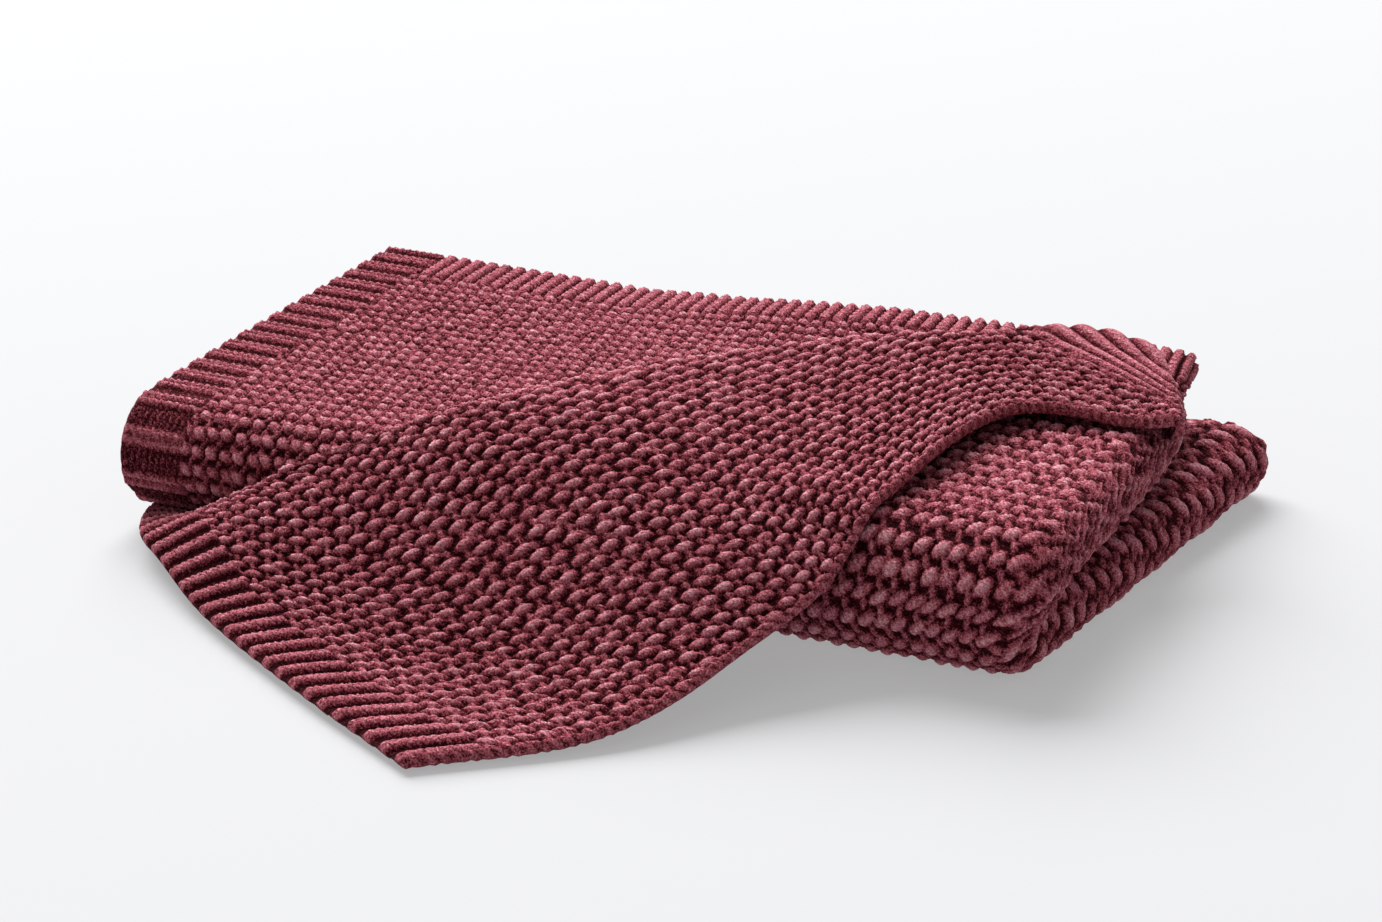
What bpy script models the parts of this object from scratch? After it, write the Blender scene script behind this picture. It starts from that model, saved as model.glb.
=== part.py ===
"""A knit blanket folded in half three times, with the free corner of its top layer pulled forward.

The cloth is one sheet. It is folded so that one long edge lies over the other, then end over end,
and then once more over a round nose at the front. The top layer is peeled off the left end, rolls
over a slanting crest and falls over the nose onto the floor. Ribbed borders run along both ends
and the back edge. X runs along the nose to the right, Y to the back, Z up, the floor is Z = 0.
"""

import bisect
import math

import bmesh
import bpy
from mathutils import Vector

# Driving sizes, in metres.
THICKNESS = 0.008
LAYER_PITCH = 0.011
PASS_LENGTH = 0.560
DEPTH = 0.330
NOSE_GAP = 0.002
BORDER_WIDTH = 0.042
RIB_PITCH = 0.012
RIB_HEIGHT = 0.0016
RIB_FADE = 0.010
FLOOR_REACH = 0.060
PEEL_TUCK = 0.024
PEEL_CLEARANCE = 0.0015
BEND_STEPS = 3.5
LOBE_SPREAD = 0.031
LOBE_PIVOT = 0.49
TOP_TUCK = 0.009
LONG_SWELL = 0.030
SHORT_SWELL = 0.018
SIDE_SWAY = 0.0035

# Sizes that follow from them.
NOSE_RADIUS = 2 * LAYER_PITCH + NOSE_GAP
OUTER_RADIUS = NOSE_RADIUS + 1.5 * LAYER_PITCH
NOSE_HEIGHT = OUTER_RADIUS + THICKNESS / 2
NOSE_Y = NOSE_HEIGHT - LAYER_PITCH
ARM = DEPTH - NOSE_Y
NOSE_ARC = math.pi * NOSE_RADIUS
PAIR_END = 2 * ARM + NOSE_ARC
TURN = math.pi * LAYER_PITCH

# The peeled corner, one row for each station along the pass. Each point is (x, y, z). Columns:
# station, free edge, low point, high point, crest, landing along the nose path, size of the roll.
PEEL = (
    (0.000, (0.316, -0.226, 0.005), (0.222, -0.172, 0.006), (0.118, -0.103, 0.007),
     (0.046, -0.044, 0.014), ARM + NOSE_ARC + 0.016, 0.085),
    (0.112, (0.407, -0.150, 0.010), (0.305, -0.108, 0.012), (0.203, -0.064, 0.031),
     (0.137, -0.016, 0.058), ARM + 0.52 * NOSE_ARC, 0.060),
    (0.224, (0.456, -0.052, 0.044), (0.385, -0.032, 0.067), (0.303, 0.010, 0.093),
     (0.235, 0.040, 0.098), ARM - 0.004, 0.062),
    (0.336, (0.477, 0.035, 0.096), (0.436, 0.076, 0.101), (0.390, 0.119, 0.105),
     (0.345, 0.162, 0.107), DEPTH - 0.150, 0.060),
    (0.448, (0.500, 0.163, 0.100), (0.484, 0.193, 0.101), (0.465, 0.223, 0.103),
     (0.447, 0.252, 0.105), DEPTH - 0.240, 0.058),
    (0.560, (0.589, 0.190, 0.086), (0.578, 0.218, 0.093), (0.565, 0.245, 0.098),
     (0.553, 0.270, 0.099), DEPTH - 0.258, 0.050),
    (0.580, (0.579, 0.240, 0.068), (0.579, 0.236, 0.069), (0.579, 0.232, 0.070),
     (0.579, 0.228, 0.070), DEPTH - 0.216, 0.006),
)

# Rows of the mesh across the blanket, for each stretch of a column from the free edge to the
# back border: peel, roll, nose, floor arm, fold, inner floor arm, inner nose, inner top arm.
ROWS = (8, 6, 13, 3, 5, 3, 9, 7)
END_RIB_ROWS = (3.0, 6.2)
PASS_COLUMNS = 19
TURN_COLUMNS = 8
RETURN_COLUMNS = 9

CLOTH_COLOUR = (0.235, 0.034, 0.058, 1.0)


def smooth_row(x, xs, rows):
    """The rows of a table read at x, on a smooth curve through them."""
    i = min(max(bisect.bisect_right(xs, x) - 1, 0), len(xs) - 2)
    x0, x1 = xs[i], xs[i + 1]
    t = min(max((x - x0) / (x1 - x0), 0.0), 1.0)
    before, after = max(i - 1, 0), min(i + 2, len(xs) - 1)
    found = []
    for k, (low, high) in enumerate(zip(rows[i], rows[i + 1])):
        rise0 = (high - rows[before][k]) / (x1 - xs[before])
        rise1 = (rows[after][k] - low) / (xs[after] - x0)
        found.append(hermite(low, high, rise0 * (x1 - x0), rise1 * (x1 - x0), t))
    return found


def hermite(p0, p1, d0, d1, t):
    """A cubic from p0 to p1 with the end slopes d0 and d1, for numbers or vectors."""
    s = 1 - t
    return p0 * (1 + 2 * t) * s * s + p1 * (3 - 2 * t) * t * t + d0 * t * s * s - d1 * t * t * s


def end_over_end(a, q):
    """(x, h) of a point a along the folded pair of layers and q off its middle line."""
    if a < PASS_LENGTH:
        return a, LAYER_PITCH + q
    if a < PASS_LENGTH + TURN:
        angle = (a - PASS_LENGTH) / LAYER_PITCH
        reach = LAYER_PITCH + q
        return PASS_LENGTH + reach * math.sin(angle), reach * math.cos(angle)
    return 2 * PASS_LENGTH + TURN - a, -LAYER_PITCH - q


def over_the_nose(x, c, h):
    """The point c along the C-shaped path over the nose, h outwards from its middle line."""
    middle = NOSE_HEIGHT
    if c < ARM:
        return Vector((x, DEPTH - c, middle + NOSE_RADIUS + h))
    if c < ARM + NOSE_ARC:
        angle = (c - ARM) / NOSE_RADIUS
        reach = NOSE_RADIUS + h
        return Vector((x, NOSE_Y - reach * math.sin(angle), middle + reach * math.cos(angle)))
    return Vector((x, NOSE_Y + c - ARM - NOSE_ARC, middle - NOSE_RADIUS - h))


def evened(start, end, t):
    """The place a share t of the way from start to end, with most of the steps round the nose."""
    def steps(c):
        return c + (BEND_STEPS - 1) * min(max(c - ARM, 0.0), NOSE_ARC)

    goal = steps(start) + (steps(end) - steps(start)) * t
    if goal <= steps(ARM):
        return goal
    if goal >= steps(ARM + NOSE_ARC):
        return goal - (BEND_STEPS - 1) * NOSE_ARC
    return ARM + (goal - ARM) / BEND_STEPS


def lying(a, c, q):
    """A point of the plainly folded blanket."""
    x, h = end_over_end(a, q)
    return over_the_nose(x, c, h)


PEEL_STATIONS = [row[0] for row in PEEL]
PEEL_ROWS = [[Vector(p) for p in row[1:5]] + list(row[5:]) for row in PEEL]
PEEL_END = PEEL_STATIONS[-1]


def off_the_nose(p, a, r):
    """Push a point of the peeled layer out of the layers round the nose that it passes over."""
    over = min(max((a - 0.20) / 0.10, 0.0), 1.0) * min(max((1.0 - r) / 0.4, 0.0), 1.0)
    reach = NOSE_RADIUS + LAYER_PITCH * (0.5 + over) + THICKNESS + PEEL_CLEARANCE
    y, z = p.y - NOSE_Y, p.z - NOSE_HEIGHT
    if y >= 0.0:
        return Vector((p.x, p.y, max(p.z, NOSE_HEIGHT + reach)))
    near = math.hypot(y, z)
    if near >= reach:
        return p
    return Vector((p.x, NOSE_Y + y * reach / near, NOSE_HEIGHT + z * reach / near))


def peeled(a, r):
    """A point of the outer layer, with r from 0 at its free edge to 3 on the floor."""
    half = LAYER_PITCH / 2
    floor_end = ARM + NOSE_ARC + FLOOR_REACH
    if a >= PEEL_END:
        drawn = min((a - PEEL_END) / (0.25 * PASS_LENGTH), 1.0)
        start = DEPTH - hermite(PEEL[-1][1][1], DEPTH, 0.0, 0.0, drawn)
        landing = start + PEEL_TUCK
        if r <= 2.0:
            return lying(a, start + PEEL_TUCK * r / 2, half)
        return lying(a, evened(landing, floor_end, r - 2.0), half)
    edge, low, high, crest, landing, roll = smooth_row(a, PEEL_STATIONS, PEEL_ROWS)
    if r >= 2.0:
        return lying(a, evened(landing, floor_end, r - 2.0), half)
    back = crest - high
    flat = Vector((back.x, back.y, 0.0)).normalized() * roll
    if r >= 1.0:
        land = lying(a, landing, half)
        onward = (lying(a, landing + 0.001, half) - land).normalized() * roll
        return hermite(crest, land, flat, onward, r - 1.0)
    knots = (0.0, 1 / 3, 2 / 3, 1.0)
    points = (edge, low, high, crest)
    slopes = (low - edge, (high - edge) / 2, (crest - low) / 2, flat.normalized() * back.length)
    i = min(int(r * 3), 2)
    found = hermite(points[i], points[i + 1], slopes[i], slopes[i + 1], (r - knots[i]) * 3)
    return off_the_nose(found, a, r) if a <= PASS_LENGTH else found


def middle(a, r):
    """The middle of the cloth, with a along the blanket and r from row stretch to row stretch."""
    half = LAYER_PITCH / 2
    floor_end = ARM + NOSE_ARC + FLOOR_REACH
    if r <= 3:
        return peeled(a, r)
    if r <= 4:
        return lying(a, floor_end + (PAIR_END - floor_end) * (r - 3), half)
    if r <= 5:
        angle = math.pi * (r - 4)
        return lying(a, PAIR_END + half * math.sin(angle), half * math.cos(angle))
    if r <= 6:
        return lying(a, PAIR_END - ARM * (r - 5), -half)
    if r <= 7:
        return lying(a, ARM + NOSE_ARC * (7 - r), -half)
    return lying(a, ARM * (8 - r), -half)


def settled(p):
    """The stack's soft, uneven lie: its floor stays flat and its layers stay apart."""
    x, y, z = p
    top = 2 * NOSE_HEIGHT
    low = 1 - min(max((z - 0.3 * top) / (0.4 * top), 0.0), 1.0)
    low = low * low * (3 - 2 * low)
    end = min(max(x / PASS_LENGTH, 0.0), 1.1) ** 3
    back = y / DEPTH
    x += end * (LOBE_SPREAD * low * (back - LOBE_PIVOT) - TOP_TUCK * (1 - low) * max(back, 0.0) ** 3)
    inside = min(max((y + 0.02) / 0.06, 0.0), 1.0)
    rise = LONG_SWELL * math.sin(7.1 * x + 0.6) * math.cos(8.3 * y)
    rise -= SHORT_SWELL * math.sin(19.0 * x - 7.0 * y)
    z += (z - THICKNESS / 2) * rise * inside
    y += SIDE_SWAY * math.sin(9.5 * x + 1.1) * min(max(back, 0.0), 1.0)
    return Vector((x, y, z))


def cloth(a, r, side, lift=0.0):
    """A point on one face of the cloth; side is 1 for the face that is outside when folded."""
    step_a, step_r = 0.0015, 0.004
    a0, a1 = max(a - step_a, 0.0), min(a + step_a, 2 * PASS_LENGTH + TURN)
    r0, r1 = max(r - step_r, 0.0), min(r + step_r, 8.0)
    along = settled(middle(a1, r)) - settled(middle(a0, r))
    across = settled(middle(a, r1)) - settled(middle(a, r0))
    normal = across.cross(along).normalized()
    return settled(middle(a, r)) + normal * side * (THICKNESS / 2 + lift)


def stretch(start, end, count):
    return [start + (end - start) * i / count for i in range(count)]


def column_places():
    """Where the mesh's columns stand along the blanket, closest together round the turn."""
    places = [0.0, BORDER_WIDTH - RIB_FADE]
    places += stretch(BORDER_WIDTH, PASS_LENGTH, PASS_COLUMNS)
    places += stretch(PASS_LENGTH, PASS_LENGTH + TURN, TURN_COLUMNS)
    end = 2 * PASS_LENGTH + TURN
    places += stretch(PASS_LENGTH + TURN, end, RETURN_COLUMNS) + [end]
    return places


def row_places():
    places = []
    for k, count in enumerate(ROWS):
        places += stretch(float(k), k + 1.0, count)
    end = float(len(ROWS))
    inner = end - BORDER_WIDTH / ARM
    return [r for r in places if r < inner - 0.02] + [inner, inner + RIB_FADE / ARM, end]


def rib_steps(first, last):
    """How many steps of half a rib fit between two points of a border."""
    return 2 * max(1, round((last - first).length / RIB_PITCH))


class BlanketMesh:
    """The cloth's two faces as a net of columns and rows, with ribs raised on the face that shows."""

    def __init__(self):
        self.mesh = bmesh.new()
        self.columns, self.rows = column_places(), row_places()
        self.last_i, self.last_j = len(self.columns) - 1, len(self.rows) - 1
        self.corners = {}
        for side in (1, -1):
            for i, a in enumerate(self.columns):
                for j, r in enumerate(self.rows):
                    lift = -RIB_HEIGHT / 2 if side < 0 and self.on_ribs(i, j) else 0.0
                    self.corners[side, i, j] = self.mesh.verts.new(cloth(a, r, side, lift))
        self.fine = {}

    def on_ribs(self, i, j):
        return i < 2 and self.end_ribs(j) or j > self.last_j - 2 and 2 <= i and self.back_ribs(i)

    def end_ribs(self, j):
        """True for the rows of the left end where ribs show: the peeled layer and the top one."""
        return self.rows[j] < END_RIB_ROWS[0] or self.rows[j] > END_RIB_ROWS[1]

    def back_ribs(self, i):
        return self.columns[i] <= PASS_LENGTH + 1e-6

    def fine_line(self, i0, j0, i1, j1):
        """The points between two corners of the net, up on a rib and down in a groove by turns."""
        key = (i0, j0, i1, j1)
        if key not in self.fine:
            first, last = self.corners[-1, i0, j0], self.corners[-1, i1, j1]
            count = self.counts[key[0] < 2 and j1 > j0, j0 if j1 > j0 else i0]
            line = [first]
            for k in range(1, count):
                t = k / count
                a = self.columns[i0] + (self.columns[i1] - self.columns[i0]) * t
                r = self.rows[j0] + (self.rows[j1] - self.rows[j0]) * t
                lift = RIB_HEIGHT / 2 if k % 2 else -RIB_HEIGHT / 2
                line.append(self.mesh.verts.new(cloth(a, r, -1, lift)))
            self.fine[key] = line + [last]
        return self.fine[key]

    def edge(self, i0, j0, i1, j1):
        """The corners of one side of a cell, with the fine points of a ribbed one."""
        if j1 > j0 and i0 < 2 and self.end_ribs(j0) and self.end_ribs(j1):
            return self.fine_line(i0, j0, i1, j1)
        if i1 > i0 and j0 > self.last_j - 2 and i0 >= 2 and self.back_ribs(i1):
            return self.fine_line(i0, j0, i1, j1)
        return [self.corners[-1, i0, j0], self.corners[-1, i1, j1]]

    def count_ribs(self):
        self.counts = {}
        for j in range(self.last_j):
            ends = [self.corners[-1, 0, k].co for k in (j, j + 1)]
            self.counts[True, j] = rib_steps(*ends)
        for i in range(self.last_i):
            ends = [self.corners[-1, k, self.last_j].co for k in (i, i + 1)]
            self.counts[False, i] = rib_steps(*ends)

    def fill(self, first, second):
        """Faces between two edges: one for each step where both are ribbed, or else a single one."""
        if len(first) == len(second):
            for k in range(len(first) - 1):
                self.mesh.faces.new([first[k], first[k + 1], second[k + 1], second[k]])
        else:
            self.mesh.faces.new(first + second[::-1])

    def build(self):
        self.count_ribs()
        for i in range(self.last_i):
            for j in range(self.last_j):
                face = [self.corners[1, i, j], self.corners[1, i, j + 1],
                        self.corners[1, i + 1, j + 1], self.corners[1, i + 1, j]]
                self.mesh.faces.new(face)
                if i < 2:
                    self.fill(self.edge(i, j, i, j + 1), self.edge(i + 1, j, i + 1, j + 1))
                else:
                    self.fill(self.edge(i, j, i + 1, j), self.edge(i, j + 1, i + 1, j + 1))
        for i in range(self.last_i):
            for j in (0, self.last_j):
                rim = [self.corners[1, i, j], self.corners[1, i + 1, j]]
                self.fill(self.edge(i, j, i + 1, j), rim)
        for j in range(self.last_j):
            for i in (0, self.last_i):
                rim = [self.corners[1, i, j], self.corners[1, i, j + 1]]
                self.fill(self.edge(i, j, i, j + 1), rim)
        bmesh.ops.recalc_face_normals(self.mesh, faces=self.mesh.faces)
        return self.mesh


def knit_material():
    material = bpy.data.materials.new("burgundy_knit")
    material.use_nodes = True
    shader = material.node_tree.nodes["Principled BSDF"]
    shader.inputs["Base Color"].default_value = CLOTH_COLOUR
    shader.inputs["Roughness"].default_value = 0.9
    shader.inputs["Metallic"].default_value = 0.0
    return material


def stand_on_origin(mesh):
    """Move the cloth so that the middle of the underside of its box is the origin."""
    places = [vertex.co for vertex in mesh.verts]
    low = [min(place[k] for place in places) for k in range(3)]
    high = [max(place[k] for place in places) for k in range(3)]
    base = Vector(((low[0] + high[0]) / 2, (low[1] + high[1]) / 2, low[2]))
    bmesh.ops.translate(mesh, vec=-base, verts=mesh.verts)


def add_blanket():
    shape = BlanketMesh().build()
    stand_on_origin(shape)
    data = bpy.data.meshes.new("blanket")
    shape.to_mesh(data)
    shape.free()
    data.shade_smooth()
    data.materials.append(knit_material())
    blanket = bpy.data.objects.new("blanket", data)
    bpy.context.scene.collection.objects.link(blanket)
    return blanket


for old in list(bpy.data.objects):
    bpy.data.objects.remove(old)
add_blanket()
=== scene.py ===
import bisect
import math

import bpy
import numpy as np
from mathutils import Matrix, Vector


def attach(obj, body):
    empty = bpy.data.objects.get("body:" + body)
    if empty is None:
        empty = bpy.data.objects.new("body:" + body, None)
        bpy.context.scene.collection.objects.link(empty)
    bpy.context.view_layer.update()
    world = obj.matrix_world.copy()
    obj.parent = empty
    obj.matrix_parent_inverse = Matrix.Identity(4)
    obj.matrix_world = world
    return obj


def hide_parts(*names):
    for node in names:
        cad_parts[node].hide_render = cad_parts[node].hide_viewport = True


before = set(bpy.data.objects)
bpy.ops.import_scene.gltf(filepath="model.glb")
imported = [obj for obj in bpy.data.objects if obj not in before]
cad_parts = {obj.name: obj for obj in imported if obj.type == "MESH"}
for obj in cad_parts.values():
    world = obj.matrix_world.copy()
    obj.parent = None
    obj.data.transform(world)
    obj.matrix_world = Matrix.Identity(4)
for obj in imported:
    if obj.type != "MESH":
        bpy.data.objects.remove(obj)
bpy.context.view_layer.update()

# The blanket's fold. One knitted sheet of thick wool-like yarn, folded so that one long edge lies
# over the other, then end over end, and once more over a round nose at the front. Its top layer is
# peeled off the left end, over a slanting crest and down onto the floor.
THICKNESS = 0.008
LAYER_PITCH = 0.011
PASS_LENGTH = 0.560
DEPTH = 0.330
NOSE_GAP = 0.002
FLOOR_REACH = 0.060
PEEL_TUCK = 0.024
PEEL_CLEARANCE = 0.0015
BEND_STEPS = 3.5
LOBE_SPREAD = 0.031
LOBE_PIVOT = 0.49
TOP_TUCK = 0.018
LONG_SWELL = 0.030
SHORT_SWELL = 0.018
BACK_SWELL = 0.130
BACK_SWELL_X = (0.18, 0.18)
BACK_SWELL_Y = (0.258, 0.050)
SIDE_SWAY = 0.0035
FULLNESS = 1.32
GATHERING = 0.28
GATHERED = (0.20, 0.14)
NET_SIZE = 0.006
ROW_COUNTS = (46, 15, 48, 38, 8, 48, 12, 48)
FREE_LAYER_WIDTH = 0.520

# Sizes that follow from them.
NOSE_RADIUS = 2 * LAYER_PITCH + NOSE_GAP
NOSE_HEIGHT = NOSE_RADIUS + 1.5 * LAYER_PITCH + THICKNESS / 2
NOSE_Y = NOSE_HEIGHT - LAYER_PITCH
ARM = DEPTH - NOSE_Y
NOSE_ARC = math.pi * NOSE_RADIUS
PAIR_END = 2 * ARM + NOSE_ARC
TURN = math.pi * LAYER_PITCH
SHEET_LENGTH = 2 * PASS_LENGTH + TURN
FLOOR_END = ARM + NOSE_ARC + FLOOR_REACH

# The peeled corner, one row for each station along the pass. Each point is (x, y, z). Columns:
# station, free edge, low point, high point, crest, landing along the nose path, size of the roll.
PEEL = (
    (0.000, (0.316, -0.226, 0.005), (0.222, -0.172, 0.006), (0.118, -0.103, 0.007),
     (0.046, -0.044, 0.014), ARM + NOSE_ARC + 0.016, 0.085),
    (0.112, (0.407, -0.150, 0.010), (0.305, -0.108, 0.012), (0.203, -0.064, 0.031),
     (0.137, -0.016, 0.058), ARM + 0.52 * NOSE_ARC, 0.060),
    (0.224, (0.456, -0.052, 0.044), (0.385, -0.032, 0.067), (0.303, 0.010, 0.093),
     (0.235, 0.040, 0.098), ARM - 0.004, 0.062),
    (0.336, (0.477, 0.035, 0.096), (0.436, 0.076, 0.101), (0.390, 0.119, 0.105),
     (0.345, 0.162, 0.107), DEPTH - 0.150, 0.060),
    (0.448, (0.500, 0.163, 0.100), (0.484, 0.193, 0.101), (0.465, 0.223, 0.103),
     (0.447, 0.252, 0.105), DEPTH - 0.240, 0.058),
    (0.560, (0.589, 0.190, 0.086), (0.578, 0.218, 0.093), (0.565, 0.245, 0.098),
     (0.553, 0.270, 0.099), DEPTH - 0.258, 0.050),
    (0.580, (0.579, 0.240, 0.068), (0.579, 0.236, 0.069), (0.579, 0.232, 0.070),
     (0.579, 0.228, 0.070), DEPTH - 0.216, 0.006),
)
PEEL_STATIONS = [row[0] for row in PEEL]
PEEL_ROWS = [[Vector(p) for p in row[1:5]] + list(row[5:]) for row in PEEL]
PEEL_END = PEEL_STATIONS[-1]


def share(place, start, length):
    """How much of the way from start a place has come: 0 before it, 1 past its end."""
    return min(max((place - start) / length, 0.0), 1.0)


def hermite(p0, p1, d0, d1, t):
    s = 1 - t
    return p0 * (1 + 2 * t) * s * s + p1 * (3 - 2 * t) * t * t + d0 * t * s * s - d1 * t * t * s


def peel_at(a):
    i = min(max(bisect.bisect_right(PEEL_STATIONS, a) - 1, 0), len(PEEL) - 2)
    x0, x1 = PEEL_STATIONS[i], PEEL_STATIONS[i + 1]
    before, after = max(i - 1, 0), min(i + 2, len(PEEL) - 1)
    found = []
    for k, (low, high) in enumerate(zip(PEEL_ROWS[i], PEEL_ROWS[i + 1])):
        rise0 = (high - PEEL_ROWS[before][k]) / (x1 - PEEL_STATIONS[before])
        rise1 = (PEEL_ROWS[after][k] - low) / (PEEL_STATIONS[after] - x0)
        found.append(hermite(low, high, rise0 * (x1 - x0), rise1 * (x1 - x0), (a - x0) / (x1 - x0)))
    return found


def lying(a, c, q):
    """A point of the plainly folded sheet: a along it, c over the nose, q off the pair's middle."""
    reach = LAYER_PITCH + q
    if a < PASS_LENGTH:
        x, h = a, reach
    elif a < PASS_LENGTH + TURN:
        angle = (a - PASS_LENGTH) / LAYER_PITCH
        x, h = PASS_LENGTH + reach * math.sin(angle), reach * math.cos(angle)
    else:
        x, h = SHEET_LENGTH - a, -reach
    if c < ARM:
        return Vector((x, DEPTH - c, NOSE_HEIGHT + NOSE_RADIUS + h))
    if c < ARM + NOSE_ARC:
        angle = (c - ARM) / NOSE_RADIUS
        reach = NOSE_RADIUS + h
        return Vector((x, NOSE_Y - reach * math.sin(angle), NOSE_HEIGHT + reach * math.cos(angle)))
    return Vector((x, NOSE_Y + c - ARM - NOSE_ARC, NOSE_HEIGHT - NOSE_RADIUS - h))


def evened(start, end, t):
    """The place a share t of the way from start to end, with most of the steps round the nose."""
    def counted(c):
        return c + (BEND_STEPS - 1) * min(max(c - ARM, 0.0), NOSE_ARC)

    goal = counted(start) + (counted(end) - counted(start)) * t
    if goal <= counted(ARM):
        return goal
    if goal >= counted(ARM + NOSE_ARC):
        return goal - (BEND_STEPS - 1) * NOSE_ARC
    return ARM + (goal - ARM) / BEND_STEPS


def off_the_nose(p, a, r):
    """Push a point of the peeled layer out of the layers round the nose that it passes over."""
    over = share(a, 0.20, 0.10) * share(1.0 - r, 0.0, 0.4)
    reach = NOSE_RADIUS + LAYER_PITCH * (0.5 + over) + THICKNESS + PEEL_CLEARANCE
    y, z = p.y - NOSE_Y, p.z - NOSE_HEIGHT
    if y >= 0.0:
        return Vector((p.x, p.y, max(p.z, NOSE_HEIGHT + reach)))
    near = math.hypot(y, z)
    if near >= reach:
        return p
    return Vector((p.x, NOSE_Y + y * reach / near, NOSE_HEIGHT + z * reach / near))


def peeled(a, r):
    """A point of the outer layer, with r from 0 at its free edge to 3 on the floor."""
    half = LAYER_PITCH / 2
    if a >= PEEL_END:
        drawn = min((a - PEEL_END) / (0.25 * PASS_LENGTH), 1.0)
        start = DEPTH - hermite(PEEL[-1][1][1], DEPTH, 0.0, 0.0, drawn)
        if r <= 2.0:
            return lying(a, start + PEEL_TUCK * r / 2, half)
        return lying(a, evened(start + PEEL_TUCK, FLOOR_END, r - 2.0), half)
    edge, low, high, crest, landing, roll = peel_at(a)
    if r >= 2.0:
        return lying(a, evened(landing, FLOOR_END, r - 2.0), half)
    back = crest - high
    flat = Vector((back.x, back.y, 0.0)).normalized()
    if r >= 1.0:
        land = lying(a, landing, half)
        onward = (lying(a, landing + 0.001, half) - land).normalized()
        return hermite(crest, land, flat * roll, onward * roll, r - 1.0)
    points = (edge, low, high, crest)
    slopes = (low - edge, (high - edge) / 2, (crest - low) / 2, flat * back.length)
    i = min(int(r * 3), 2)
    found = hermite(points[i], points[i + 1], slopes[i], slopes[i + 1], r * 3 - i)
    return off_the_nose(found, a, r) if a <= PASS_LENGTH else found


def middle(a, r):
    """The middle of the cloth, with r from the free edge, 0, round both layers to the back edge, 8."""
    half = LAYER_PITCH / 2
    if r <= 3:
        return peeled(a, r)
    if r <= 4:
        return lying(a, FLOOR_END + (PAIR_END - FLOOR_END) * (r - 3), half)
    if r <= 5:
        angle = math.pi * (r - 4)
        return lying(a, PAIR_END + half * math.sin(angle), half * math.cos(angle))
    if r <= 6:
        return lying(a, PAIR_END - ARM * (r - 5), -half)
    if r <= 7:
        return lying(a, ARM + NOSE_ARC * (7 - r), -half)
    return lying(a, ARM * (8 - r), -half)


def settled(p):
    """The stack's soft, uneven lie: its floor stays flat and its layers stay apart."""
    x, y, z = p
    top = 2 * NOSE_HEIGHT
    low = 1 - share(z, 0.3 * top, 0.4 * top)
    low = low * low * (3 - 2 * low)
    end = min(max(x / PASS_LENGTH, 0.0), 1.1) ** 3
    back = y / DEPTH
    x += end * (LOBE_SPREAD * low * (back - LOBE_PIVOT) - TOP_TUCK * (1 - low) * max(back, 0.0) ** 3)
    rise = LONG_SWELL * math.sin(7.1 * x + 0.6) * math.cos(8.3 * y)
    rise -= SHORT_SWELL * math.sin(19.0 * x - 7.0 * y)
    rise *= share(y, -0.02, 0.06)
    rise += BACK_SWELL * share(x, *BACK_SWELL_X) * share(y, *BACK_SWELL_Y)
    z += (z - THICKNESS / 2) * rise
    y += SIDE_SWAY * math.sin(9.5 * x + 1.1) * share(back, 0.0, 1.0)
    return x, y, z


def steps(stops, size):
    """Places between stops, about size apart."""
    places = []
    for start, end in zip(stops, stops[1:]):
        count = max(1, round((end - start) / size))
        places += [start + (end - start) * i / count for i in range(count)]
    return places + [stops[-1]]


COLUMNS = steps((0.0, 0.300, 0.540, 0.606, SHEET_LENGTH - 0.042, SHEET_LENGTH), NET_SIZE)
ROWS = []
for stretch, count in enumerate(ROW_COUNTS):
    ROWS += [stretch + i / count for i in range(count)]
ROWS.append(8.0)

# Lengths across the sheet from its free edge, first as the net has them and then as the stitches
# are counted, which run fuller on the peeled layer and are gathered towards its right end.
net = np.array([[settled(middle(a, r)) for r in ROWS] for a in COLUMNS])
LENGTHS = np.linalg.norm(np.diff(net, axis=1), axis=2)
LENGTHS = np.concatenate([np.zeros((len(COLUMNS), 1)), np.cumsum(LENGTHS, axis=1)], axis=1)
landing_row, floor_row = ROWS.index(2.0), ROWS.index(3.0)
ACROSS = LENGTHS - LENGTHS[:, floor_row:floor_row + 1] + FREE_LAYER_WIDTH
for place, line, flat in zip(COLUMNS, LENGTHS, ACROSS):
    flat[:landing_row] = line[:landing_row] * (FULLNESS + GATHERING * share(place, *GATHERED))
SHEET_WIDTH = float(ACROSS[0, -1])


def refined(places, k):
    """The places with k steps for each one before."""
    return np.interp(np.arange((len(places) - 1) * k + 1) / k, np.arange(len(places)), places)


# The knit. Thick stitches in staggered rows: large beads with small ones between them. The ends of
# the sheet have wide ribs that open up round the nose, the back edge has close ones, and the free
# edge of the top layer is cast off in a chain.
STITCH_ALONG = 0.0106
STITCH_ACROSS = 0.0157
TOP_STITCH_ALONG = 0.0090
TOP_STITCH_ACROSS = 0.0106
STITCH_SLANT = 0.16
PEELED_SLANT = 0.33
ROW_WANDER = 0.055
WANDER_START = 0.12
WANDER_LENGTH = 0.44
BEADS = (
    # place in the cell, half sizes along and across, height, lean
    (0.0, 0.0052, 0.0061, 1.00, 0.20),
    (0.5, 0.0024, 0.0052, 0.70, -0.45),
)
BEAD_SIZES = 0.26
STRAY_ALONG = 0.20
STRAY_ACROSS = 0.14
PLY = 0.0034
BORDER_WIDTH = 0.044
BORDER_BLEND = 0.003
END_RIB = 0.0212
TOP_RIB = 0.0190
NOSE_RIB = 0.0250
RIB_WIDTH = 0.0115
BACK_RIB = 0.0098
BACK_RIB_WIDTH = 0.0078
RIB_PLAIT = 0.0050
RUNG_PITCH = 0.0042
NOSE_RUNGS = 0.50
TOP_RUNGS = 0.25
FLOOR_RUNGS = 0.02
BACK_RUNGS = 0.10
FAN_TIP = 0.598
FAN_STEP = 0.085
FAN_HEIGHT = 0.8
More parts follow.
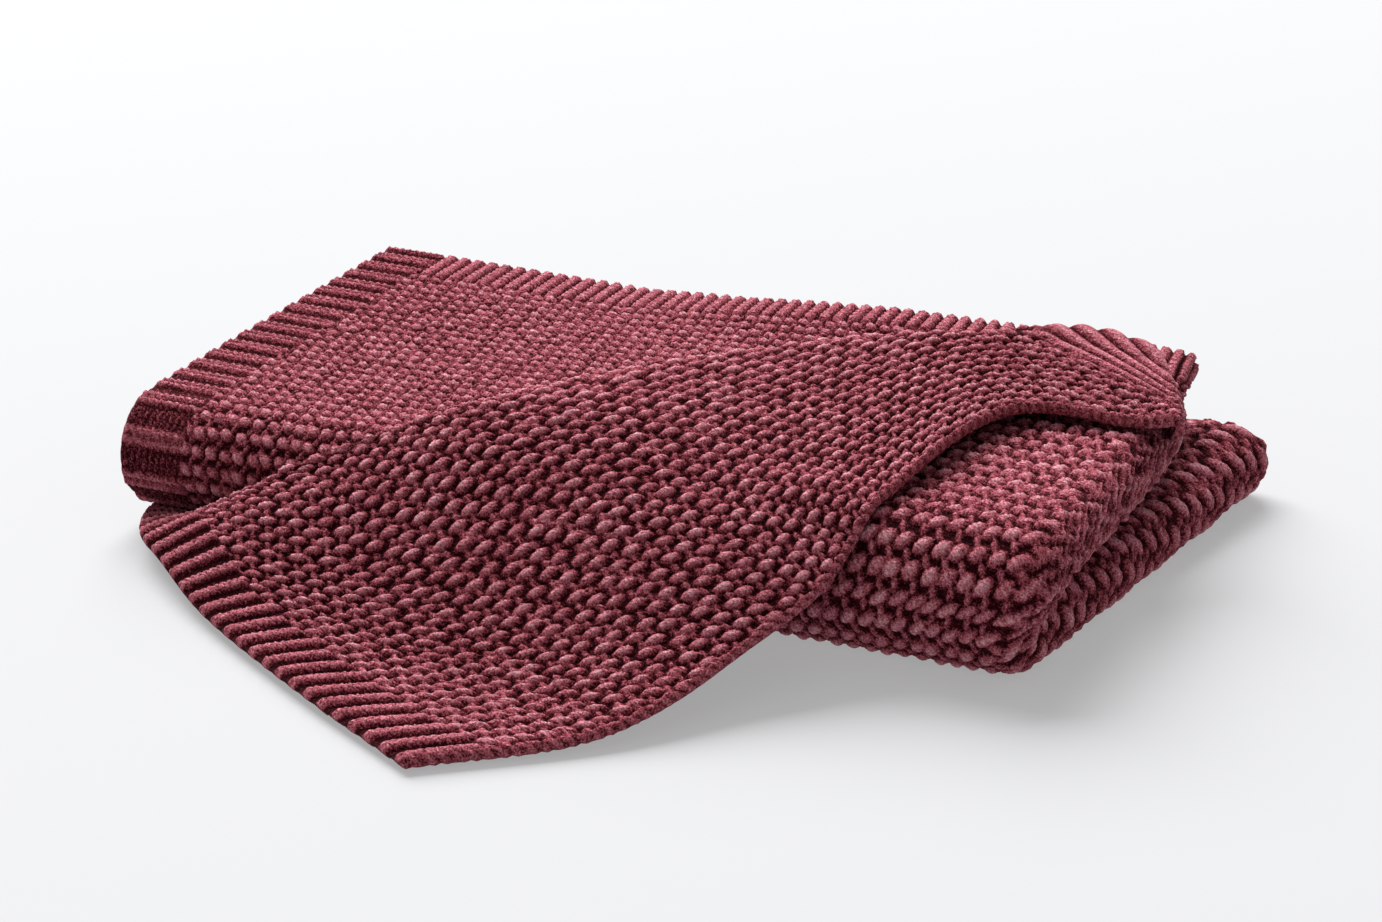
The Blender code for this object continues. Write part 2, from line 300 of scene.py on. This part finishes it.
FAN_PULL = 0.45
EDGE_CHAIN = 0.0042
CHAIN_BLEND = 0.0025
CHAIN_PITCH = 0.0072
BORDER_SHADE = 0.18
HALF_CORE = 0.0014
EDGE_ROUND = 0.0045
KNIT_RISE = 0.0040


def dome(x, y, wide, tall):
    """A half ball, 1 in its middle and 0 from its rim on."""
    return np.clip(1 - (x / wide) ** 2 - (y / tall) ** 2, 0, 1) ** 0.5


def uneven(i, j, seed):
    """A number from -0.5 to 0.5 that is the stitch's own."""
    return np.modf(np.abs(np.sin(i * 12.9898 + j * 78.233 + seed) * 43758.5453))[0] - 0.5


def beads(u, v, pitch_u, pitch_v):
    """The field's stitches, from 0 in the holes to 1 on the beads."""
    height = np.zeros_like(u)
    for offset, wide, tall, top, lean in BEADS:
        i0 = np.round(u / pitch_u - offset)
        j0 = np.round(v / pitch_v - offset)
        for di in (-1, 0, 1):
            for dj in (-1, 0, 1):
                i, j = i0 + di, j0 + dj
                y = (v / pitch_v - j - offset - STRAY_ACROSS * uneven(i, j, 2.0)) * STITCH_ACROSS
                x = (u / pitch_u - i - offset - STRAY_ALONG * uneven(i, j, 1.0)) * STITCH_ALONG
                x = x + lean * y
                strands = 0.88 + 0.12 * np.cos(2 * np.pi * (y - 0.8 * x) / PLY)
                size = top * (1 + BEAD_SIZES * uneven(i, j, 3.0)) * strands
                height = np.maximum(height, size * dome(x, y, wide, tall))
    return height


def ribs(across, along, pitch, width, rung, split):
    """Ribs that may be split in two columns, and thin rungs of yarn in the gaps between them."""
    x = (across / pitch - np.round(across / pitch)) * pitch
    single = np.clip(1 - (2 * np.abs(x) / width) ** 4, 0, 1) ** 0.5
    double = dome(np.abs(np.abs(x) - width / 4), 0, width / 4.6, 1)
    plait = 0.84 + 0.16 * np.cos(2 * np.pi * (along + 0.8 * np.abs(x)) / RIB_PLAIT)
    rungs = rung * (0.58 + 0.52 * np.cos(2 * np.pi * (along + 0.4 * x) / RUNG_PITCH))
    gap = np.clip((np.abs(x) - width / 2) / 0.0015, 0, 1)
    return np.maximum(np.where(split, double, single) * plait, rungs * gap)


def blend_in(x, start, end):
    """A soft step from 0 at start to 1 at end."""
    t = np.clip((x - start) / (end - start), 0, 1)
    return t * t * (3 - 2 * t)


def knit(a, v, face):
    """Height of the stitches and their painted light, a along the sheet and v across it from the free
    edge.
    """
    back = SHEET_WIDTH - v
    end = np.minimum(a, SHEET_LENGTH - a)
    if face == "top":
        field = beads(a + STITCH_SLANT * v, v, TOP_STITCH_ALONG, TOP_STITCH_ACROSS)
    elif face == "peeled":
        wander = ROW_WANDER * np.sin(np.pi * np.clip((a - WANDER_START) / WANDER_LENGTH, 0, 1)) ** 2
        field = beads(a + PEELED_SLANT * v, v - wander, STITCH_ALONG, STITCH_ACROSS)
        spoke = np.arctan2(FAN_TIP - a, v + 0.010)
        fan = FAN_HEIGHT * np.abs(np.cos(np.pi * spoke / FAN_STEP)) ** 0.8
        fan = FAN_PULL + (fan - FAN_PULL) * blend_in(v, 0.008, 0.030)
        field = field + (fan - field) * (1 - blend_in(spoke, 0.55, 0.78)) * blend_in(a, 0.47, 0.50)
    else:
        field = beads(a + STITCH_SLANT * v, v, STITCH_ALONG, STITCH_ACROSS)
    round_nose = (back > ARM) & (back < ARM + NOSE_ARC)
    phase = np.clip(back, 0, ARM) / TOP_RIB + np.clip(back - ARM, 0, NOSE_ARC) / NOSE_RIB
    phase = phase + np.clip(back - ARM - NOSE_ARC, 0, 9) / END_RIB
    spread = np.where(round_nose, NOSE_RIB, np.where(back < ARM, TOP_RIB, END_RIB))
    rung = np.where(round_nose, NOSE_RUNGS, np.where(back < ARM, TOP_RUNGS, FLOOR_RUNGS))
    end_ribs = ribs(phase * spread, end, spread, RIB_WIDTH, rung, back < ARM + NOSE_ARC)
    back_ribs = ribs(a, back, BACK_RIB, BACK_RIB_WIDTH, BACK_RUNGS, False)
    hem = 1 - blend_in(back, BORDER_WIDTH - BORDER_BLEND, BORDER_WIDTH)
    height = field + (back_ribs - field) * hem
    border = 1 - blend_in(end, BORDER_WIDTH - BORDER_BLEND, BORDER_WIDTH)
    height = height + (end_ribs - height) * border
    chain = 0.36 + 0.42 * np.abs(np.cos(np.pi * (a + 0.9 * v) / CHAIN_PITCH))
    rim = 1 - blend_in(v, EDGE_CHAIN, EDGE_CHAIN + CHAIN_BLEND)
    height = height + (chain - height) * rim
    # The second value is painted light: the stitch height again, a painted highlight on the beads and
    # painted shade in the holes, and a little darker on the borders and the chain edge by BORDER_SHADE.
    return height, height * (1 - BORDER_SHADE * np.maximum.reduce([hem, border, rim]))


# The yarn. Burgundy wool-like yarn of several soft plies with a short fuzz. Its colour also holds
# painted light: a painted highlight on the beads and painted shade, nearly black red, in the holes.
class Wire:
    """A socket that can be used in sums."""

    tree = None

    def __init__(self, socket):
        self.socket = socket

    @classmethod
    def node(cls, kind, settings, sockets, out=0):
        """A new node: its settings first, or a ramp's stops, then its sockets' values or links."""
        made = cls.tree.nodes.new(kind)
        for key, value in settings.items():
            if key != "stops":
                setattr(made, key, value)
                continue
            marks = made.color_ramp.elements
            for k, (position, colour) in enumerate(value):
                mark = marks[k] if k < 2 else marks.new(position)
                mark.position = position
                mark.color = (*colour, 1.0)
        for key, value in sockets.items():
            place = made.inputs[key]
            if isinstance(value, Wire):
                cls.tree.links.new(value.socket, place)
            else:
                place.default_value = value
        return cls(made.outputs[out])

    def maths(self, operation, other, swap=False):
        first, second = (other, self) if swap else (self, other)
        return Wire.node("ShaderNodeMath", {"operation": operation}, {0: first, 1: second})

    def __add__(self, other):
        return self.maths("ADD", other)

    def __mul__(self, other):
        return self.maths("MULTIPLY", other)

    def __sub__(self, other):
        return self.maths("SUBTRACT", other)

    def __rsub__(self, other):
        return self.maths("SUBTRACT", other, swap=True)

    __radd__ = __add__
    __rmul__ = __mul__


YARN_COLOUR_AND_PAINTED_LIGHT = (
    (0.0, (0.008, 0.0003, 0.001)),
    (0.22, (0.058, 0.002, 0.005)),
    (0.50, (0.400, 0.086, 0.114)),
    (0.78, (0.660, 0.272, 0.320)),
    (1.0, (0.820, 0.500, 0.540)),
)
SHEEN = (0.80, 0.25, 0.32, 1.0)


def burgundy_yarn():
    material = bpy.data.materials.new("burgundy_yarn")
    material.use_nodes = True
    Wire.tree = material.node_tree
    shader = material.node_tree.nodes["Principled BSDF"]
    place = Wire.node("ShaderNodeTexCoord", {}, {}, out=3)
    # The rise attribute holds painted light: a painted highlight on the beads and painted shade in the
    # holes.
    rise = Wire.node("ShaderNodeAttribute", {"attribute_name": "rise"}, {}, out=2)
    fuzz = Wire.node("ShaderNodeTexNoise", {},
                     {"Vector": place, "Scale": 850.0, "Detail": 3.0, "Roughness": 0.7})
    clumps = Wire.node("ShaderNodeTexNoise", {}, {"Vector": place, "Scale": 300.0, "Detail": 2.0})
    patches = Wire.node("ShaderNodeTexNoise", {}, {"Vector": place, "Scale": 9.0, "Detail": 2.0})
    plies = Wire.node("ShaderNodeTexWave", {"bands_direction": "DIAGONAL"},
                      {"Vector": place, "Scale": 120.0, "Distortion": 9.0, "Detail": 1.0,
                       "Detail Scale": 1.5}, out=1)
    # Painted light from rise, mixed with the yarn's own random fuzz, clumps and patches.
    painted_light_and_mottle = rise * 0.74 + fuzz * 1.50 + clumps * 0.40 + patches * 0.12 - 0.96
    colour = Wire.node("ShaderNodeValToRGB", {"stops": YARN_COLOUR_AND_PAINTED_LIGHT}, {"Fac": painted_light_and_mottle})
    height = fuzz * 0.8 + plies * 0.4 + clumps * 0.8
    bump = Wire.node("ShaderNodeBump", {}, {"Height": height, "Strength": 1.0, "Distance": 0.0022})
    material.node_tree.links.new(colour.socket, shader.inputs["Base Color"])
    material.node_tree.links.new(bump.socket, shader.inputs["Normal"])
    shader.inputs["Roughness"].default_value = 0.95
    shader.inputs["Specular IOR Level"].default_value = 0.04
    shader.inputs["Sheen Weight"].default_value = 0.07
    shader.inputs["Sheen Roughness"].default_value = 0.5
    shader.inputs["Sheen Tint"].default_value = SHEEN
    return material


yarn = burgundy_yarn()


# The sheet's parts. Each is a stretch of the one sheet, with both faces and rounded edges, so that
# no mesh is too large. The face that shows has the finest net, and hidden layers a plain one.
BASE = Vector((0.298835, 0.058191, 0.0))
FLOOR_GAP = 0.0002
PLACE_MATCH = 1e-6
KNIT_SHARES = {1: 0.35, 2: 0.8, 4: 1.0}
SHOWN_FACES = {0.0: "peeled", 6.0: "top"}


def within(places, span):
    return [place for place in places if span[0] - PLACE_MATCH <= place <= span[1] + PLACE_MATCH]


def sheet_part(name, a_span, r_span, inner, outer):
    """One part, from its spans along and across, and how finely each face is refined."""
    columns, rows = within(COLUMNS, a_span), within(ROWS, r_span)
    k = max(inner, outer)
    fine_a, fine_r = refined(columns, k), refined(rows, k)
    core = np.array([[settled(middle(a, r)) for r in fine_r] for a in fine_a])
    core -= np.array(BASE)
    normal = np.cross(np.gradient(core, axis=1), np.gradient(core, axis=0))
    normal /= np.maximum(np.linalg.norm(normal, axis=2, keepdims=True), 1e-12)
    i0, j0 = COLUMNS.index(columns[0]), ROWS.index(rows[0])
    flat_v = ACROSS[i0:i0 + len(columns), j0:j0 + len(rows)]
    flat_v = np.array([np.interp(fine_r, rows, line) for line in flat_v])
    v = np.array([[np.interp(a, columns, flat_v[:, j]) for a in fine_a] for j in range(len(fine_r))]).T
    a = np.repeat(fine_a[:, None], len(fine_r), axis=1)
    places, painted_lights, edges, faces = [], [], [], []
    count = 0
    for side, finer in ((-1, inner), (1, outer)):
        step = k // finer
        cut = (slice(None, None, step), slice(None, None, step))
        shown = SHOWN_FACES.get(r_span[0], "plain") if side < 0 else "plain"
        # rise shapes the face; light is painted light for the yarn's colour.
        rise, light = knit(a[cut], v[cut], shown)
        rise = rise * KNIT_SHARES[finer]
        edge = np.minimum.reduce([a[cut], SHEET_LENGTH - a[cut], v[cut], SHEET_WIDTH - v[cut]])
        rounding = np.sqrt(1 - (1 - np.clip(edge / EDGE_ROUND, 0.04, 1)) ** 2)
        face = core[cut] + normal[cut] * (side * rounding * (HALF_CORE + KNIT_RISE * rise))[..., None]
        face[..., 2] = np.maximum(face[..., 2], FLOOR_GAP)
        grid = np.arange(face.shape[0] * face.shape[1]).reshape(face.shape[:2]) + count
        count += grid.size
        places.append(face.reshape(-1, 3))
        painted_lights.append(light.ravel())
        edges.append((grid[0], grid[:, -1], grid[-1][::-1], grid[:, 0][::-1]))
        quads = np.stack([grid[:-1, :-1], grid[:-1, 1:], grid[1:, 1:], grid[1:, :-1]], axis=-1)
        quads = quads.reshape(-1, 4)
        faces += (quads if side > 0 else quads[:, ::-1]).tolist()
    for inner_line, outer_line in zip(*edges):
        parts = min(len(inner_line), len(outer_line)) - 1
        m, n = (len(inner_line) - 1) // parts, (len(outer_line) - 1) // parts
        for p in range(parts):
            ring = inner_line[p * m:(p + 1) * m + 1].tolist()
            faces.append(ring + outer_line[p * n:(p + 1) * n + 1][::-1].tolist())
    mesh = bpy.data.meshes.new(name)
    mesh.from_pydata(np.concatenate(places).tolist(), [], faces)
    # The painted light is kept in the rise attribute, which the yarn's colour reads.
    lightness = mesh.attributes.new("rise", "FLOAT", "POINT")
    lightness.data.foreach_set("value", np.concatenate(painted_lights).astype(np.float32))
    mesh.materials.append(yarn)
    mesh.shade_smooth()
    part = bpy.data.objects.new(name, mesh)
    bpy.context.scene.collection.objects.link(part)
    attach(part, "root")
    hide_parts("blanket")
    lengths = LENGTHS[i0:i0 + len(columns)]
    length = float(np.mean(lengths[:, j0 + len(rows) - 1] - lengths[:, j0]))
    a_span[1] - a_span[0]


def column_near(a):
    return min(COLUMNS, key=lambda c: abs(c - a))


mid, turn = column_near(0.300), column_near(0.606)
sheet_part("top_layer_left", (0.0, mid), (6.0, 8.0), 4, 1)
sheet_part("top_layer_right", (mid, turn), (6.0, 8.0), 4, 1)
sheet_part("peeled_layer_left", (0.0, mid), (0.0, 2.0), 4, 2)
sheet_part("peeled_layer_right", (mid, turn), (0.0, 2.0), 4, 2)
sheet_part("nose_left", (0.0, mid), (2.0, 3.0), 1, 2)
sheet_part("nose_right", (mid, turn), (2.0, 3.0), 1, 4)
sheet_part("floor_arm", (0.0, mid), (3.0, 6.0), 1, 1)
sheet_part("floor_arm_right", (mid, turn), (3.0, 6.0), 1, 4)
sheet_part("inner_pass", (turn, SHEET_LENGTH), (0.0, 8.0), 1, 1)

# The floor. A plain pale matt studio sweep that the blanket lies on. It is lit a little from
# below, which keeps the blanket's shadow on it light.
FLOOR_HALF = 6.0
FLOOR_COLOUR = (0.275, 0.278, 0.284, 1.0)
FLOOR_GLOW = (0.98, 0.99, 1.0, 1.0)
FLOOR_GLOW_STRENGTH = 0.345
floor_mesh = bpy.data.meshes.new("floor")
floor_corners = [(x * FLOOR_HALF, y * FLOOR_HALF, 0.0) for x, y in ((-1, -1), (1, -1), (1, 1), (-1, 1))]
floor_mesh.from_pydata(floor_corners, [], [(0, 1, 2, 3)])
floor = bpy.data.objects.new("floor", floor_mesh)
bpy.context.scene.collection.objects.link(floor)
pale = bpy.data.materials.new("pale_floor")
pale.use_nodes = True
pale_shader = pale.node_tree.nodes["Principled BSDF"]
pale_shader.inputs["Base Color"].default_value = FLOOR_COLOUR
pale_shader.inputs["Emission Color"].default_value = FLOOR_GLOW
pale_shader.inputs["Emission Strength"].default_value = FLOOR_GLOW_STRENGTH
pale_shader.inputs["Roughness"].default_value = 0.9
pale_shader.inputs["Specular IOR Level"].default_value = 0.1
floor_mesh.materials.append(pale)

# The light. A large soft box from the upper left and back, a weak one low at the front left, and an
# even pale surround.
def soft_box(name, place, aim, size, power):
    lamp = bpy.data.lights.new(name, "AREA")
    lamp.shape, lamp.size, lamp.energy = "SQUARE", size, power
    box = bpy.data.objects.new(name, lamp)
    box.location = place
    box.rotation_euler = (Vector(aim) - Vector(place)).to_track_quat("-Z", "Y").to_euler()
    bpy.context.scene.collection.objects.link(box)


soft_box("key_light", (-7.0, 7.8, 10.0), (0, 0.05, 0.03), 13.0, 6000)
soft_box("fill_light", (-0.6, -2.6, 1.6), (0, 0, 0.05), 1.6, 4)
world = bpy.data.worlds.new("studio")
world.use_nodes = True
world.node_tree.nodes["Background"].inputs["Color"].default_value = (1.0, 0.97, 0.97, 1.0)
world.node_tree.nodes["Background"].inputs["Strength"].default_value = 0.37
bpy.context.scene.world = world
bpy.context.scene.view_settings.view_transform = "Standard"

# The camera. It stands low and to the right of the front, as the photograph was taken, with a long
# lens and everything sharp.
AZIMUTH = math.radians(24.584)
ELEVATION = math.radians(21.082)
DISTANCE = 2.4705
SENSOR_WIDTH = 36.0
FOCAL_SHARE = 4200 / 1382
aim = Vector((0.3003, 0.1501, 0.04)) - BASE
towards = Vector((math.sin(AZIMUTH) * math.cos(ELEVATION), -math.cos(AZIMUTH) * math.cos(ELEVATION),
                  math.sin(ELEVATION)))
lens = bpy.data.cameras.new("camera")
lens.sensor_width = SENSOR_WIDTH
lens.lens = FOCAL_SHARE * SENSOR_WIDTH
lens.dof.use_dof = False
camera = bpy.data.objects.new("camera", lens)
camera.location = aim + DISTANCE * towards
camera.rotation_euler = (aim - camera.location).to_track_quat("-Z", "Y").to_euler()
bpy.context.scene.collection.objects.link(camera)
bpy.context.scene.camera = camera
